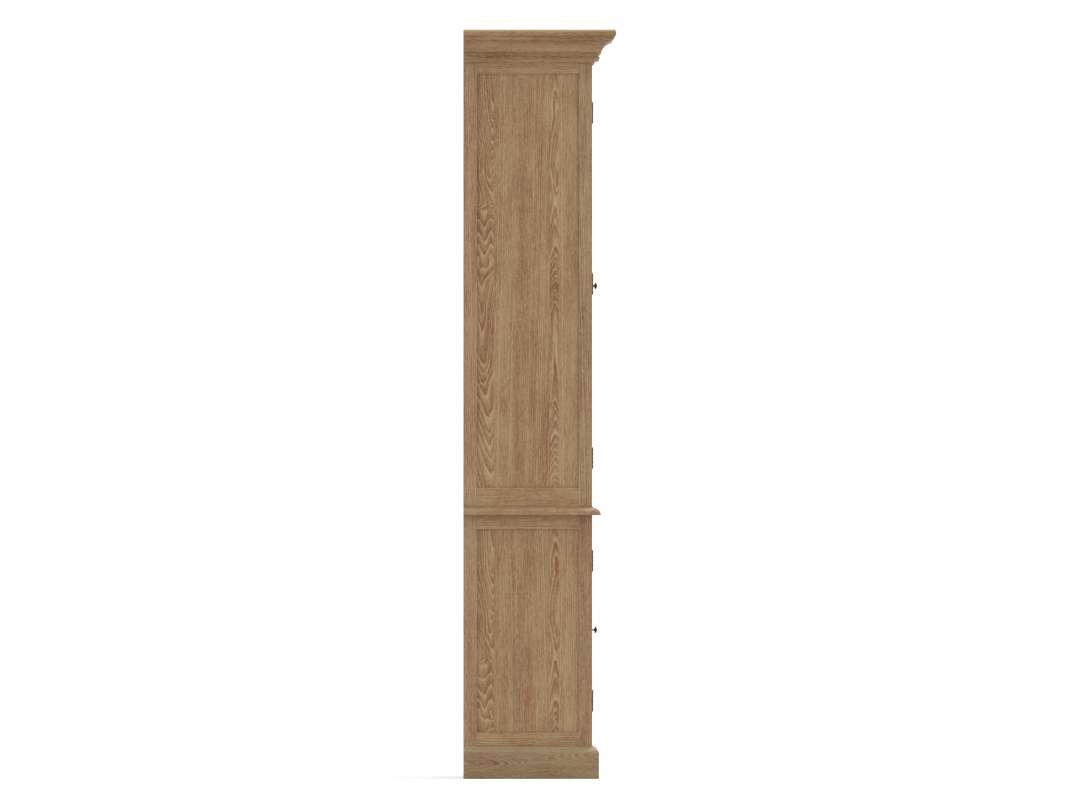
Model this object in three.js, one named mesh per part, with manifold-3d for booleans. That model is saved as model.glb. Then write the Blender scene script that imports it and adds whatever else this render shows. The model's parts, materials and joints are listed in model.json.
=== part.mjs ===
// Pantry cabinet in limed oak: a base cabinet and a taller upper cabinet that stands on the
// base's moulded top board, each with a pair of inset doors on butt hinges, a mitred plinth
// round the foot and a mitred crown round the head.
// Millimetres, +Z up. The front faces -Y. The origin is on the floor, under the middle of the
// crown's outline. "Left" is the -X side, as seen by someone standing in front of the cabinet.

import * as THREE from 'three';
import { mergeVertices } from 'three/addons/utils/BufferGeometryUtils.js';
import Module from 'manifold-3d';

// Overall sizes
const HEIGHT = 2400;
const BODY_WIDTH = 1060;
const BODY_DEPTH = 413;
const CROWN_REACH = 77;
const WAIST_REACH = 27.8;
const PLINTH_REACH = 22;

// Levels above the floor
const PLINTH_TOP = 102.5;
const BASE_OPENING = [148, 800];
const WAIST_BOTTOM = 844.5;
const WAIST_THICKNESS = 28.5;
const UPPER_OPENING = [902, 2259];
const UPPER_SIDE_PANEL_BOTTOM = 932;
const CROWN_BOTTOM = 2294.5;

// Boards
const SIDE_THICKNESS = 22;
const FACE_FRAME_THICKNESS = 19;
const FACE_STILE_WIDTH = 45;
const SIDE_BACK_STILE_WIDTH = 44;
const SIDE_FRONT_STILE_WIDTH = 24;
const BOARD_THICKNESS = 22;
const SHELF_THICKNESS = 20;
const BACK_THICKNESS = 8;
const SIDE_PANEL_THICKNESS = 12;
const PANEL_RECESS = 7;
const GROOVE_DEPTH = 9;
const SHELF_SETBACK = 24;
const UPPER_SHELF_COUNT = 3;

// Doors
const DOOR_GAP = 3;
const DOOR_THICKNESS = 19;
const DOOR_STILE_WIDTH = 60;
const DOOR_BOTTOM_RAIL_WIDTH = 68;
const DOOR_PANEL_THICKNESS = 8;

// Butt hinges
const HINGE_LENGTH = 70;
const HINGE_PROUD = 0.1;
const LEAF_THICKNESS = 2;
const LEAF_REACH = 16;
const BARREL_RADIUS = 3.5;
const BARREL_CLEARANCE = 0.5;
const BARREL_SIDES = 12;
const KNUCKLE_COUNT = 5;
const PIN_RADIUS = 1.4;
const PIN_BORE_RADIUS = 1.75;
const PIN_CAP_HEIGHT = 2;
const UPPER_HINGE_INSET = 125.5;
const UPPER_MIDDLE_HINGE_RISE = 5;
const BASE_HINGE_INSET = 102;

// Knobs and catches
const KNOB_SIDES = 20;
const KNOB_FROM_DOOR_EDGE = 30;
const CATCH_WIDTH = 64;
const CATCH_DEPTH = 24;
const CATCH_DROP = 15;
const CATCH_FLANGE_HEIGHT = 16;
const CATCH_FLANGE_DEPTH = 4;

// Clearance between pieces that touch, and how far a cutting tool runs past what it cuts
const GAP = 0.3;
const OVERSHOOT = 1;

const HALF_WIDTH = BODY_WIDTH / 2;
const BACK = (BODY_DEPTH + CROWN_REACH) / 2;
const FACE = BACK - BODY_DEPTH;
const FACE_FRAME_BACK = FACE + FACE_FRAME_THICKNESS;
const INNER_HALF_WIDTH = HALF_WIDTH - SIDE_THICKNESS - GAP;
const OPENING_HALF_WIDTH = HALF_WIDTH - FACE_STILE_WIDTH;
const DOOR_WIDTH = OPENING_HALF_WIDTH - 1.5 * DOOR_GAP;
const WAIST_TOP = WAIST_BOTTOM + WAIST_THICKNESS;
const TOP_BOARD_BOTTOM = HEIGHT - BOARD_THICKNESS;
const HINGE_AXIS_X = OPENING_HALF_WIDTH - DOOR_GAP / 2;
const HINGE_AXIS_Y = FACE - HINGE_PROUD;

const wasm = await Module();
wasm.setup();

// A range is a pair of numbers in either order.

const grow = (range, amount) => [Math.min(...range) - amount, Math.max(...range) + amount];
const mirrored = (range, side) => [side * range[0], side * range[1]];

// Solids

function block(xRange, yRange, zRange) {
  const ranges = [xRange, yRange, zRange].map((range) => grow(range, 0));
  const size = ranges.map(([low, high]) => high - low);
  const middle = ranges.map(([low, high]) => (low + high) / 2);
  return new THREE.BoxGeometry(...size).translate(...middle);
}

function toSolid(geometry) {
  const bare = geometry.clone();
  bare.deleteAttribute('normal');
  bare.deleteAttribute('uv');
  const merged = mergeVertices(bare);
  return new wasm.Manifold(new wasm.Mesh({
    numProp: 3,
    vertProperties: new Float32Array(merged.attributes.position.array),
    triVerts: new Uint32Array(merged.index.array),
  }));
}

function toGeometry(solid) {
  const mesh = solid.getMesh();
  const geometry = new THREE.BufferGeometry();
  geometry.setAttribute('position', new THREE.BufferAttribute(mesh.vertProperties, 3));
  geometry.setIndex(new THREE.BufferAttribute(mesh.triVerts, 1));
  const faceted = geometry.toNonIndexed();
  faceted.computeVertexNormals();
  return faceted;
}

function joined(first, ...others) {
  return toGeometry(others.reduce((solid, other) => solid.add(toSolid(other)), toSolid(first)));
}

function cut(first, ...tools) {
  return toGeometry(tools.reduce((solid, tool) => solid.subtract(toSolid(tool)), toSolid(first)));
}

// A closed surface from corner points and triangles, turned to face outwards.
function closedSurface(points, triangles) {
  const corner = (index) => new THREE.Vector3(...points[index]);
  let volume = 0;
  for (const [a, b, c] of triangles) {
    volume += corner(a).dot(corner(b).cross(corner(c)));
  }
  const outward = volume > 0 ? triangles : triangles.map(([a, b, c]) => [a, c, b]);
  const geometry = new THREE.BufferGeometry();
  geometry.setAttribute('position', new THREE.Float32BufferAttribute(points.flat(), 3));
  geometry.setIndex(outward.flat());
  const faceted = geometry.toNonIndexed();
  faceted.computeVertexNormals();
  return faceted;
}

// Moulding profiles: points [reach, height], where reach is the distance out from the body.

function arc(reach, height, radius, startDegrees, endDegrees, steps) {
  const points = [];
  for (let step = 0; step <= steps; step += 1) {
    const angle = THREE.MathUtils.degToRad(
      startDegrees + ((endDegrees - startDegrees) * step) / steps,
    );
    points.push([reach + radius * Math.cos(angle), height + radius * Math.sin(angle)]);
  }
  return points;
}

const lifted = (profile, rise) => profile.map(([reach, height]) => [reach, height + rise]);
const stretched = (profile, factor) => profile.map(([reach, height]) => [reach, height * factor]);

// From the bottom up: cove, nose, scotia, bead, wide cavetto, fillet and rounded top fascia.
const CROWN_OUTLINE = lifted([
  ...arc(20, 0, 12, 180, 96, 4),
  [23.8, 12.2],
  [23.8, 15.6],
  ...arc(27.5, 23.5, 8.3, 235, 100, 5),
  [29.8, 34.2],
  [30.5, 36.5],
  ...arc(77.8, 24.7, 49.1, 164.3, 105.3, 6),
  [66, 72.6],
  [66, 81.8],
  ...arc(67, 92.5, 10, -84, 0, 4),
  [76.2, 99],
  [73, HEIGHT - CROWN_BOTTOM],
], CROWN_BOTTOM);

// From the bottom up: an ovolo a little taller than it is deep, and a small cove.
const OVOLO_STRETCH = 1.1;
const WAIST_OUTLINE = lifted([
  ...stretched(arc(7.5, 0, WAIST_REACH - 7.5, 0, 88, 7), OVOLO_STRETCH),
  ...arc(7, 28.8, 6, 270, 185, 4),
  [0, WAIST_THICKNESS],
], WAIST_BOTTOM);

// From the floor up: flat face, ovolo and cove.
const PLINTH_OUTLINE = [
  [PLINTH_REACH, 0],
  ...arc(PLINTH_REACH - 17.1, 78.5, 17.1, 0, 65, 4),
  ...arc(17.1, 114.9, 21.1, 254, 219, 4),
];

const MITRE_EASE = 0.2;

// A straight run of moulding whose back lies on the body and whose ends follow the mitres.
function mouldingRun(outline, bottom, top, endsAt) {
  const profile = [[GAP, bottom], ...outline, [GAP, top]];
  const flat = profile.map(([reach, height]) => new THREE.Vector2(reach, height));
  const count = profile.length;
  const points = [0, 1].flatMap((end) => profile.map(([reach, height]) => [
    ...endsAt(reach)[end], height,
  ]));
  const triangles = [];
  for (let index = 0; index < count; index += 1) {
    const next = (index + 1) % count;
    triangles.push([index, next, count + next], [index, count + next, count + index]);
  }
  for (const [a, b, c] of THREE.ShapeUtils.triangulateShape(flat, [])) {
    triangles.push([a, c, b], [count + a, count + b, count + c]);
  }
  return closedSurface(points, triangles);
}

function frontRun(outline, bottom, top) {
  return mouldingRun(outline, bottom, top, (reach) => [
    [-(HALF_WIDTH + reach - MITRE_EASE), FACE - reach],
    [HALF_WIDTH + reach - MITRE_EASE, FACE - reach],
  ]);
}

function sideRun(side, outline, bottom, top) {
  return mouldingRun(outline, bottom, top, (reach) => [
    [side * (HALF_WIDTH + reach), BACK],
    [side * (HALF_WIDTH + reach), FACE - reach + MITRE_EASE],
  ]);
}

// One board with its front and both ends moulded to the outline; its back edge is square.
function mouldedBoard(outline) {
  const points = outline.flatMap(([reach, height]) => [
    [-(HALF_WIDTH + reach), BACK, height],
    [-(HALF_WIDTH + reach), FACE - reach, height],
    [HALF_WIDTH + reach, FACE - reach, height],
    [HALF_WIDTH + reach, BACK, height],
  ]);
  const triangles = [[0, 2, 1], [0, 3, 2]];
  for (let ring = 0; ring < 4 * (outline.length - 1); ring += 4) {
    for (let edge = 0; edge < 4; edge += 1) {
      const a = ring + edge;
      const b = ring + ((edge + 1) % 4);
      triangles.push([a, b, b + 4], [a, b + 4, a + 4]);
    }
  }
  const last = 4 * (outline.length - 1);
  triangles.push([last, last + 1, last + 2], [last, last + 2, last + 3]);
  return closedSurface(points, triangles);
}

// Frame and panel: a grooved frame with a thinner panel held in its grooves. A "side" frame
// stands in the YZ plane and a "front" frame in the XZ plane.

function slab(plane, along, through, up) {
  return plane === 'side' ? block(through, along, up) : block(along, through, up);
}

function frameAndPanel({ plane, along, up, through, openAlong, openUp, panel }) {
  const frame = cut(
    slab(plane, along, through, up),
    slab(plane, openAlong, grow(through, OVERSHOOT), openUp),
    slab(plane, grow(openAlong, GROOVE_DEPTH), grow(panel, GAP), grow(openUp, GROOVE_DEPTH)),
  );
  const held = GROOVE_DEPTH - GAP;
  return { frame, panel: slab(plane, grow(openAlong, held), panel, grow(openUp, held)) };
}

// Materials

const limedOak = { color: 0x9a7e5e, roughness: 0.72, metalness: 0 };
const plinthOak = { color: 0x8c7458, roughness: 0.72, metalness: 0 };
const insideOak = { color: 0xa98b66, roughness: 0.65, metalness: 0 };
const agedBronze = { color: 0x5d462d, roughness: 0.45, metalness: 0.85 };
const darkBronze = { color: 0x40311a, roughness: 0.4, metalness: 0.85 };
const catchPlastic = { color: 0x6b5640, roughness: 0.5, metalness: 0 };

const cabinet = new THREE.Group();

function add(name, geometry, look) {
  const mesh = new THREE.Mesh(geometry, new THREE.MeshStandardMaterial(look));
  mesh.name = name;
  cabinet.add(mesh);
}

// Plinth and crown: three mitred lengths each.

function addMitredMouldings(name, outline, bottom, top, look) {
  add(`${name}_front`, frontRun(outline, bottom, top), look);
  add(`${name}_left`, sideRun(-1, outline, bottom, top), look);
  add(`${name}_right`, sideRun(1, outline, bottom, top), look);
}

addMitredMouldings('plinth', PLINTH_OUTLINE, 0, PLINTH_TOP, plinthOak);
addMitredMouldings('crown', CROWN_OUTLINE, CROWN_BOTTOM, HEIGHT, limedOak);

// Carcases: framed sides, a face frame, boards and a back for each cabinet.

// The mortise for one hinge leaf, which lies on one side of the pin.
function hingePocket(side, towards, level) {
  const axis = side * HINGE_AXIS_X;
  return block(
    [axis + towards * (DOOR_GAP / 2 - OVERSHOOT), axis + towards * (BARREL_RADIUS + GAP)],
    [FACE - OVERSHOOT, HINGE_AXIS_Y + LEAF_REACH + GAP],
    grow([level, level], HINGE_LENGTH / 2 + GAP),
  );
}

function addCarcase({ name, bottom, top, opening, sidePanel, hinges }) {
  for (const [sideName, side] of [['left', -1], ['right', 1]]) {
    const outside = side * (HALF_WIDTH - PANEL_RECESS);
    const { frame, panel } = frameAndPanel({
      plane: 'side',
      along: [FACE_FRAME_BACK + GAP, BACK],
      up: [bottom, top],
      through: mirrored([HALF_WIDTH - SIDE_THICKNESS, HALF_WIDTH], side),
      openAlong: [FACE_FRAME_BACK + SIDE_FRONT_STILE_WIDTH, BACK - SIDE_BACK_STILE_WIDTH],
      openUp: sidePanel,
      panel: [outside - side * SIDE_PANEL_THICKNESS, outside],
    });
    add(`${name}_${sideName}_side_frame`, frame, limedOak);
    add(`${name}_${sideName}_side_panel`, panel, limedOak);
  }
  const thickness = [FACE, FACE_FRAME_BACK];
  const openX = [-OPENING_HALF_WIDTH, OPENING_HALF_WIDTH];
  const pockets = hinges.flatMap((level) => [-1, 1].map(
    (side) => hingePocket(side, side, level),
  ));
  add(`${name}_face_frame`, cut(
    block([-HALF_WIDTH, HALF_WIDTH], thickness, [bottom, top]),
    block(openX, grow(thickness, OVERSHOOT), opening),
    ...pockets,
  ), limedOak);
}

const innerX = [-INNER_HALF_WIDTH, INNER_HALF_WIDTH];
const boardY = [FACE_FRAME_BACK + GAP, BACK - BACK_THICKNESS - GAP];

function addBoard(name, bottom, thickness, look) {
  add(name, block(innerX, boardY, [bottom, bottom + thickness]), look);
}

function addBackPanel(name, bottom, top) {
  add(name, block(innerX, [BACK - BACK_THICKNESS, BACK], [bottom, top]), insideOak);
}

function addShelf(name, level) {
  const depth = [FACE_FRAME_BACK + SHELF_SETBACK, BACK - BACK_THICKNESS - GAP];
  add(name, block(innerX, depth, [level - SHELF_THICKNESS, level]), insideOak);
}

const baseHinges = [BASE_OPENING[0] + BASE_HINGE_INSET, BASE_OPENING[1] - BASE_HINGE_INSET];
const upperMiddle = (UPPER_OPENING[0] + UPPER_OPENING[1]) / 2;
const upperHinges = [
  UPPER_OPENING[0] + UPPER_HINGE_INSET,
  upperMiddle + UPPER_MIDDLE_HINGE_RISE,
  UPPER_OPENING[1] - UPPER_HINGE_INSET,
];

addCarcase({
  name: 'base',
  bottom: 0,
  top: WAIST_BOTTOM - GAP,
  opening: BASE_OPENING,
  sidePanel: BASE_OPENING,
  hinges: baseHinges,
});
addBoard('base_bottom_board', BASE_OPENING[0] - BOARD_THICKNESS, BOARD_THICKNESS, insideOak);
addBackPanel('base_back_panel', PLINTH_TOP, WAIST_BOTTOM - GAP);
addShelf('base_shelf', (BASE_OPENING[0] + WAIST_BOTTOM) / 2);
add('waist_top_board', mouldedBoard(WAIST_OUTLINE), limedOak);

addCarcase({
  name: 'upper',
  bottom: WAIST_TOP + GAP,
  top: TOP_BOARD_BOTTOM - GAP,
  opening: UPPER_OPENING,
  sidePanel: [UPPER_SIDE_PANEL_BOTTOM, UPPER_OPENING[1]],
  hinges: upperHinges,
});
addBoard('upper_bottom_board', UPPER_OPENING[0] - BOARD_THICKNESS, BOARD_THICKNESS, insideOak);
addBackPanel('upper_back_panel', WAIST_TOP + GAP, TOP_BOARD_BOTTOM - GAP);
for (let shelf = 1; shelf <= UPPER_SHELF_COUNT; shelf += 1) {
  const spacing = (UPPER_OPENING[1] - UPPER_OPENING[0]) / (UPPER_SHELF_COUNT + 1);
  addShelf(`upper_shelf_${shelf}`, UPPER_OPENING[0] + shelf * spacing);
}
add('upper_top_board', block(
  [-HALF_WIDTH, HALF_WIDTH],
  [FACE, BACK],
  [TOP_BOARD_BOTTOM, HEIGHT],
), limedOak);

// Double magnetic catches: an L-shaped block behind the middle of each opening's top rail.

function addCatch(name, openingTop) {
  const front = FACE_FRAME_BACK + GAP;
  const width = [-CATCH_WIDTH / 2, CATCH_WIDTH / 2];
  const head = block(width, [front, front + CATCH_DEPTH], [openingTop - CATCH_DROP, openingTop]);
  const flange = block(
    width,
    [front, front + CATCH_FLANGE_DEPTH],
    [openingTop - OVERSHOOT, openingTop + CATCH_FLANGE_HEIGHT],
  );
  add(name, joined(head, flange), catchPlastic);
}

addCatch('base_door_catch', BASE_OPENING[1]);
addCatch('upper_door_catch', UPPER_OPENING[1]);

// Butt hinges: the frame leaf carries the odd knuckles, and the door leaf carries the even
// knuckles and the pin. Local x runs from the pin towards the leaf and y into the cabinet.

const knuckleLength = (HINGE_LENGTH - 2 * PIN_CAP_HEIGHT) / KNUCKLE_COUNT;

function knuckleRange(level, index) {
  const low = level - HINGE_LENGTH / 2 + PIN_CAP_HEIGHT + index * knuckleLength;
  return [low + GAP / 2, low + knuckleLength - GAP / 2];
}

function barrel(side, radius, [low, high]) {
  return new THREE.CylinderGeometry(radius, radius, high - low, BARREL_SIDES)
    .rotateX(Math.PI / 2)
    .translate(side * HINGE_AXIS_X, HINGE_AXIS_Y, (low + high) / 2);
}

function leaf(side, towards, level, knuckles) {
  const axis = side * HINGE_AXIS_X;
  const plateX = [axis + towards * (BARREL_RADIUS - LEAF_THICKNESS), axis + towards * BARREL_RADIUS];
  const plateFront = HINGE_AXIS_Y + BARREL_RADIUS + BARREL_CLEARANCE;
  const plate = block(
    plateX,
    [plateFront, HINGE_AXIS_Y + LEAF_REACH],
    grow([level, level], HINGE_LENGTH / 2),
  );
  const pieces = knuckles.flatMap((index) => {
    const range = knuckleRange(level, index);
    const tab = block(plateX, [HINGE_AXIS_Y, plateFront + OVERSHOOT], range);
    return [barrel(side, BARREL_RADIUS, range), tab];
  });
  return joined(plate, ...pieces);
}

function frameLeaf(side, level) {
  const length = grow([level, level], HINGE_LENGTH / 2 + OVERSHOOT);
  return cut(leaf(side, side, level, [0, 2, 4]), barrel(side, PIN_BORE_RADIUS, length));
}

function doorLeaf(side, level) {
  const pinRange = grow([level, level], HINGE_LENGTH / 2 - PIN_CAP_HEIGHT / 2);
  const lowCap = [level - HINGE_LENGTH / 2, level - HINGE_LENGTH / 2 + PIN_CAP_HEIGHT - GAP / 2];
  const highCap = [level + HINGE_LENGTH / 2 - PIN_CAP_HEIGHT + GAP / 2, level + HINGE_LENGTH / 2];
  return joined(
    leaf(side, -side, level, [1, 3]),
    barrel(side, PIN_RADIUS, pinRange),
    barrel(side, BARREL_RADIUS - GAP, lowCap),
    barrel(side, BARREL_RADIUS - GAP, highCap),
  );
}

// Knob: a mushroom head on a waisted neck, turned about the axis that points out of the door.

function knob(x, level) {
  const half = [
    [0, 0],
    [3.6, 0],
    [2.6, 1.8],
    [2.1, 4.2],
    [2.7, 7],
    [4.6, 8.6],
    [9.2, 9.2],
    [10.5, 10.4],
    [10.5, 11.8],
    [9.4, 13.8],
    [6.6, 15.7],
    [3.3, 16.7],
    [0, 17],
  ].map(([radius, out]) => new THREE.Vector2(radius, out));
  return new THREE.LatheGeometry(half, KNOB_SIDES)
    .rotateX(Math.PI)
    .translate(x, FACE - GAP, level);
}

// Doors: a grooved frame, a panel, a knob at mid height and the hinges on the outer stile.

function addDoor(name, side, opening, hinges) {
  const nearMiddle = DOOR_GAP / 2;
  const along = mirrored([nearMiddle, nearMiddle + DOOR_WIDTH], side);
  const up = grow(opening, -DOOR_GAP);
  const openAlong = grow(along, -DOOR_STILE_WIDTH);
  const openUp = [up[0] + DOOR_BOTTOM_RAIL_WIDTH, up[1] - DOOR_STILE_WIDTH];
  const panelFront = FACE + PANEL_RECESS;
  const { frame, panel } = frameAndPanel({
    plane: 'front',
    along,
    up,
    through: [FACE, FACE + DOOR_THICKNESS],
    openAlong,
    openUp,
    panel: [panelFront, panelFront + DOOR_PANEL_THICKNESS],
  });
  add(`${name}_frame`, cut(frame, ...hinges.map(
    (level) => hingePocket(side, -side, level),
  )), limedOak);
  add(`${name}_panel`, panel, limedOak);
  add(`${name}_knob`, knob(
    side * (nearMiddle + KNOB_FROM_DOOR_EDGE),
    (opening[0] + opening[1]) / 2,
  ), darkBronze);
  hinges.forEach((level, index) => {
    const hinge = `${name}_hinge_${index + 1}`;
    add(`${hinge}_frame_leaf`, frameLeaf(side, level), agedBronze);
    add(`${hinge}_door_leaf`, doorLeaf(side, level), agedBronze);
  });
}

for (const [sideName, side] of [['left', -1], ['right', 1]]) {
  addDoor(`base_${sideName}_door`, side, BASE_OPENING, baseHinges);
  addDoor(`upper_${sideName}_door`, side, UPPER_OPENING, upperHinges);
}

export default cabinet;
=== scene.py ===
"""Pantry cabinet in limed oak: the looks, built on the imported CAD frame, in metres."""

import json
import math
import random

import bmesh
import bpy
from mathutils import Matrix, Vector


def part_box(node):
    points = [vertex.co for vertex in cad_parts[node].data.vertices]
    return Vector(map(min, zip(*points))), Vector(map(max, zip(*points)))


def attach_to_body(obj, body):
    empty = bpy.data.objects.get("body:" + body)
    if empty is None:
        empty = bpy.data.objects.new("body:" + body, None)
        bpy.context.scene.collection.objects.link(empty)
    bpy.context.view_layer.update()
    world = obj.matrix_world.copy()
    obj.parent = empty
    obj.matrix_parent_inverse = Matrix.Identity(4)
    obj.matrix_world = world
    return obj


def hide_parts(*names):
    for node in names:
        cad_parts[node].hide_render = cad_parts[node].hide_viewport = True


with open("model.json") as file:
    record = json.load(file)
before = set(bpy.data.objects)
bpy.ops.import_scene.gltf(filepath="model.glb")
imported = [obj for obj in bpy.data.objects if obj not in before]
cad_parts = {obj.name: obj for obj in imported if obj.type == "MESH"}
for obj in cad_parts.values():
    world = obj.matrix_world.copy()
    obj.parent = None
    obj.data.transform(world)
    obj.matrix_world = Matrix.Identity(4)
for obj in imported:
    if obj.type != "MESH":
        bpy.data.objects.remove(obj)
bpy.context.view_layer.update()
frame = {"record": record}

MM = 0.001
X, Y, Z = 0, 1, 2

RECORD = frame["record"]
BODY_OF = {node: body for body, nodes in RECORD["behaviour"]["bodies"].items() for node in nodes}
SLOT_OF = {part["node"]: part["material_slot"] for part in RECORD["subparts"]}
AXIS_OF = {joint["child"]: Vector(joint["pos_m"]) for joint in RECORD["behaviour"]["joints"]}

GROOVE_HOLD = 8.7 * MM   # how far a panel reaches into its frame's groove
FIT_GAP = 0.3 * MM       # clearance between wooden pieces that touch
DOOR_GAP = 3 * MM
EASE = 0.7 * MM          # rounding of a board's long edges

BODY_LOW, BODY_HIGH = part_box("upper_face_frame")
FACE = BODY_LOW.y
HALF_WIDTH = BODY_HIGH.x
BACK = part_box("upper_back_panel")[1].y
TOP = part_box("upper_top_board")[1].z


# ---------------------------------------------------------------- mesh tools

ON_AXIS = 1e-7
ROUNDED_ANGLE = 0.5   # radians between two faces, above which the edge between them is rounded
FLAT_ANGLE = 0.01     # and below which cut faces are joined again


def in_metres(outline):
    """An outline of (reach, height) points in millimetres, in metres."""
    return [(reach * MM, height * MM) for reach, height in outline]


def lies_in(point, box):
    return all(low <= value <= high for low, value, high in zip(box[0], point, box[1]))


def add_box(bm, low, high):
    """Adds a box between two corners."""
    low, high = Vector(low), Vector(high)
    size = Matrix.Diagonal((*(high - low), 1))
    bmesh.ops.create_cube(bm, size=1, matrix=Matrix.Translation((low + high) / 2) @ size)


def add_extrusion(bm, outline, depth):
    """Adds the solid that a flat outline sweeps when it moves by a vector."""
    face = bm.faces.new([bm.verts.new(point) for point in outline])
    moved = bmesh.ops.extrude_face_region(bm, geom=[face])["geom"]
    corners = [part for part in moved if isinstance(part, bmesh.types.BMVert)]
    bmesh.ops.translate(bm, vec=depth, verts=corners)
    bmesh.ops.recalc_face_normals(bm, faces=bm.faces)


def add_lathe(bm, outline, place, sides):
    """Adds a closed turned solid: outline is (radius, height) from axis to axis, place its matrix."""
    rings = []
    for radius, height in outline:
        if radius < ON_AXIS:
            rings.append([bm.verts.new(place @ Vector((0, 0, height)))])
            continue
        turns = [math.tau * k / sides for k in range(sides)]
        rings.append([
            bm.verts.new(place @ Vector((radius * math.cos(t), radius * math.sin(t), height)))
            for t in turns
        ])
    for lower, upper in zip(rings, rings[1:]):
        for k in range(sides):
            n = (k + 1) % sides
            if len(lower) == 1:
                bm.faces.new((lower[0], upper[n], upper[k]))
            elif len(upper) == 1:
                bm.faces.new((lower[k], lower[n], upper[0]))
            else:
                bm.faces.new((lower[k], lower[n], upper[n], upper[k]))


def shade(bm, sharp_degrees=32):
    """Smooth shading, with the edges over an angle kept sharp."""
    bmesh.ops.recalc_face_normals(bm, faces=bm.faces)
    for face in bm.faces:
        face.smooth = True
    limit = math.radians(sharp_degrees)
    for edge in bm.edges:
        edge.smooth = len(edge.link_faces) == 2 and edge.calc_face_angle(0) < limit


def ease_edges(bm, width, spare=(), segments=2):
    """Rounds the convex edges, except those that lie in one of the spare boxes."""
    def spared(edge):
        middle = (edge.verts[0].co + edge.verts[1].co) / 2
        return any(lies_in(middle, box) for box in spare)

    corners = [e for e in bm.edges if e.is_convex and e.calc_face_angle(0) > ROUNDED_ANGLE]
    edges = [edge for edge in corners if not spared(edge)]
    bmesh.ops.bevel(bm, geom=edges, offset=width, segments=segments, profile=0.5,
                    affect="EDGES", clamp_overlap=True)


def to_object(name, bm):
    """Makes a linked object of the mesh, with its place in its mesh."""
    mesh = bpy.data.meshes.new(name)
    bm.to_mesh(mesh)
    bm.free()
    obj = bpy.data.objects.new(name, mesh)
    bpy.context.scene.collection.objects.link(obj)
    return obj


def carved(bm, boxes):
    """The mesh less some boxes, as a new mesh."""
    solid = to_object("carving", bm)
    cutters = []
    for low, high in boxes:
        cutter_mesh = bmesh.new()
        add_box(cutter_mesh, low, high)
        cutter = to_object("cutter", cutter_mesh)
        modifier = solid.modifiers.new("cut", "BOOLEAN")
        modifier.operation, modifier.solver, modifier.object = "DIFFERENCE", "EXACT", cutter
        cutters.append(cutter)
    shape = solid.evaluated_get(bpy.context.evaluated_depsgraph_get())
    result = bmesh.new()
    result.from_mesh(shape.to_mesh())
    bmesh.ops.dissolve_limit(result, angle_limit=FLAT_ANGLE, verts=result.verts, edges=result.edges)
    for obj in [solid, *cutters]:
        mesh = obj.data
        bpy.data.objects.remove(obj)
        bpy.data.meshes.remove(mesh)
    return result


def grown(box, amount):
    """A box made bigger by an amount, or by one amount for each axis."""
    step = Vector(amount) if isinstance(amount, tuple) else Vector((amount,) * 3)
    return box[0] - step, box[1] + step


def with_axis(box, axis, low, high):
    """A box with its range along one axis replaced."""
    a, b = box[0].copy(), box[1].copy()
    a[axis], b[axis] = low, high
    return a, b


# ---------------------------------------------------------------- grain

class Stave:
    """One glued strip of a board.

    end is its far edge across the board, rings(along, across, depth) counts the growth rings at a
    place, tone is how light it is, figure how boldly its rings show, and curved whether they bend
    so much that the mesh needs a lattice to follow them. shift moves its pores and streaks, so
    that no two staves have the same.
    """

    def __init__(self, rng, end, rings, tone, figure, curved=False):
        self.end, self.rings, self.tone, self.figure, self.curved = end, rings, tone, figure, curved
        self.shift = rng.uniform(2, 40)


PLAIN = (0.35, 0.75)   # how boldly the rings show in straight-grained wood, and in flames
FLAMED = 0.9
RIFT = (0.1, 0.2)      # how far the pith lies off the board's middle in rift and quarter sawn wood
QUARTER = (0.0, 0.03)


def log_rings(rng, pith, behind, slope, spacing):
    """Rings round a log's centre, at pith(along) across the board and some way behind it.

    slope(along) is how much further out in the log the cut has moved.
    """
    first = rng.uniform(20, 400)

    def rings(along, across, depth):
        outwards = math.hypot(across - pith(along), depth + behind) + slope(along)
        return first + outwards / spacing
    return rings


def sway(rng, size):
    """A slow random wave of about a size, as a function of the place along the grain."""
    waves = [(rng.uniform(0.35, 1.1), rng.uniform(0, math.tau)) for _ in range(3)]

    def offset(along):
        return size * sum(math.sin(math.tau * along / length + phase) for length, phase in waves) / 2
    return offset


def through(points):
    """A function that runs straight between (place, value) points, level beyond both ends."""
    def value(place):
        for (a, low), (b, high) in zip(points, points[1:]):
            if place < b:
                return low + (high - low) * min(max((place - a) / (b - a), 0), 1)
        return points[-1][1]
    return value


def straight_stave(rng, low, high, cut=RIFT):
    """The rings stand steep in the board, so its faces are plain; cut is RIFT or QUARTER."""
    pith = (low + high) / 2 + rng.choice((-1, 1)) * rng.uniform(0.12, 0.24)
    behind = rng.choice((-1, 1)) * rng.uniform(*cut)
    slope = rng.uniform(-0.02, 0.02)
    rings = log_rings(rng, lambda z: pith, behind, lambda z: slope * z, rng.uniform(3, 5) * MM)
    return Stave(rng, high, rings, rng.uniform(-0.4, 0.4), rng.uniform(*PLAIN))


def flame_stave(rng, low, high):
    """Plain sawn near the pith: the rings lie flat in the face and make nested flames."""
    centre = low + (high - low) * rng.uniform(0.25, 0.75)
    swing, uneven = sway(rng, 8 * MM), sway(rng, 5 * MM)
    slope = rng.choice((-1, 1)) * rng.uniform(0.07, 0.13)
    behind = rng.choice((-1, 1)) * rng.uniform(0.015, 0.035)
    rings = log_rings(rng, lambda z: centre + swing(z), behind, lambda z: slope * z + uneven(z),
                      rng.uniform(3.5, 5) * MM)
    return Stave(rng, high, rings, rng.uniform(-0.7, 0.2), FLAMED, curved=True)


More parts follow.
